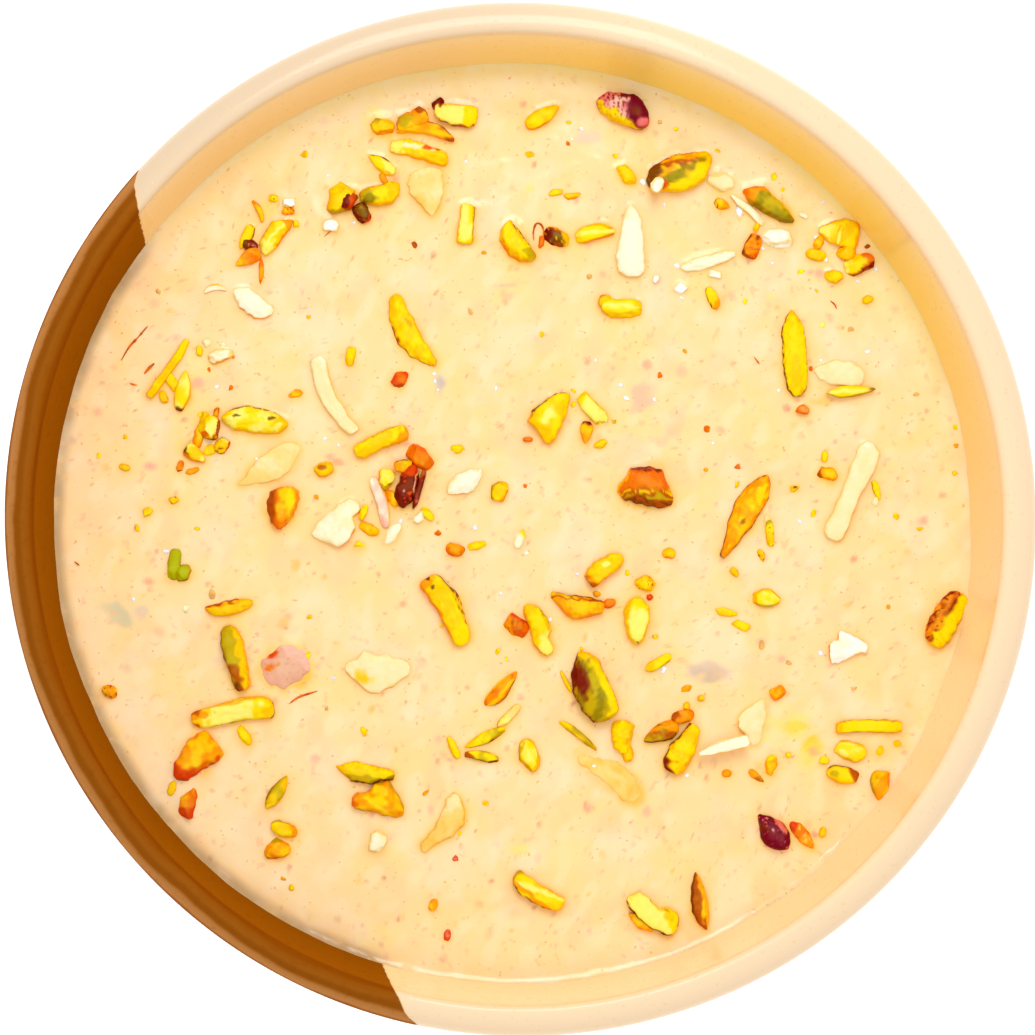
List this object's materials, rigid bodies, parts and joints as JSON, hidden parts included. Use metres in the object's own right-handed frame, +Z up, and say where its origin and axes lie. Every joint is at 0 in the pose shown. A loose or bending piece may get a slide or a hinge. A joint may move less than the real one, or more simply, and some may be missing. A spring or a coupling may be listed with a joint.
{
  "type": "kheer rice pudding in its bowl",
  "caption": "Kheer, a cooled rice pudding, in a round two-tone glazed stoneware bowl, scattered with cut pistachios, almond slivers and saffron.",
  "frame": {"origin": "bottom centre of the bowl's foot, on the surface it stands on", "axes": "+Z up out of the bowl's mouth; the brown dipped part of the glaze lies towards -X, a little towards -Y"},
  "size_m": [0.165, 0.1648, 0.06],
  "materials": {
    "glaze": "glossy cream stoneware glaze, with a brown dipped part over the left side",
    "kheer": "wet, smooth cream-yellow milk pudding",
    "pistachio": "wet, bright yellow cut nut",
    "toasted_pistachio": "wet, golden orange cut nut",
    "pistachio_skin": "wet, mahogany to purple nut skin",
    "almond": "wet, ivory white peeled almond"
  },
  "bodies": {
    "root": {"bowl": "glaze", "kheer": "kheer", "pistachio_01": "pistachio", "pistachio_02": "pistachio", "pistachio_03": "pistachio", "pistachio_04": "pistachio", "pistachio_05": "pistachio", "pistachio_06": "pistachio", "pistachio_07": "pistachio", "pistachio_08": "pistachio", "pistachio_09": "pistachio", "pistachio_10": "pistachio", "pistachio_11": "pistachio", "pistachio_12": "pistachio", "pistachio_13": "pistachio", "pistachio_14": "pistachio", "pistachio_15": "pistachio", "pistachio_16": "pistachio", "pistachio_17": "pistachio", "pistachio_18": "pistachio", "pistachio_19": "pistachio", "pistachio_20": "pistachio", "pistachio_21": "pistachio", "pistachio_22": "pistachio", "pistachio_23": "pistachio", "toasted_pistachio_01": "toasted_pistachio", "toasted_pistachio_02": "toasted_pistachio", "toasted_pistachio_03": "toasted_pistachio", "toasted_pistachio_04": "toasted_pistachio", "toasted_pistachio_05": "toasted_pistachio", "toasted_pistachio_06": "toasted_pistachio", "toasted_pistachio_07": "toasted_pistachio", "toasted_pistachio_08": "toasted_pistachio", "toasted_pistachio_09": "toasted_pistachio", "toasted_pistachio_10": "toasted_pistachio", "toasted_pistachio_11": "toasted_pistachio", "skinned_pistachio_01": "pistachio_skin", "skinned_pistachio_02": "pistachio_skin", "skinned_pistachio_03": "pistachio_skin", "skinned_pistachio_04": "pistachio_skin", "skinned_pistachio_05": "pistachio_skin", "skinned_pistachio_06": "pistachio_skin", "skinned_pistachio_07": "pistachio_skin", "almond_01": "almond", "almond_02": "almond", "almond_03": "almond", "almond_04": "almond", "almond_05": "almond", "almond_06": "almond", "almond_07": "almond", "almond_08": "almond", "almond_09": "almond", "almond_10": "almond", "almond_11": "almond", "almond_12": "almond", "almond_13": "almond", "almond_14": "almond", "raised_almond_01": "almond", "soaked_almond_01": "almond", "soaked_skin_01": "pistachio_skin"}
  },
  "joints": []
}
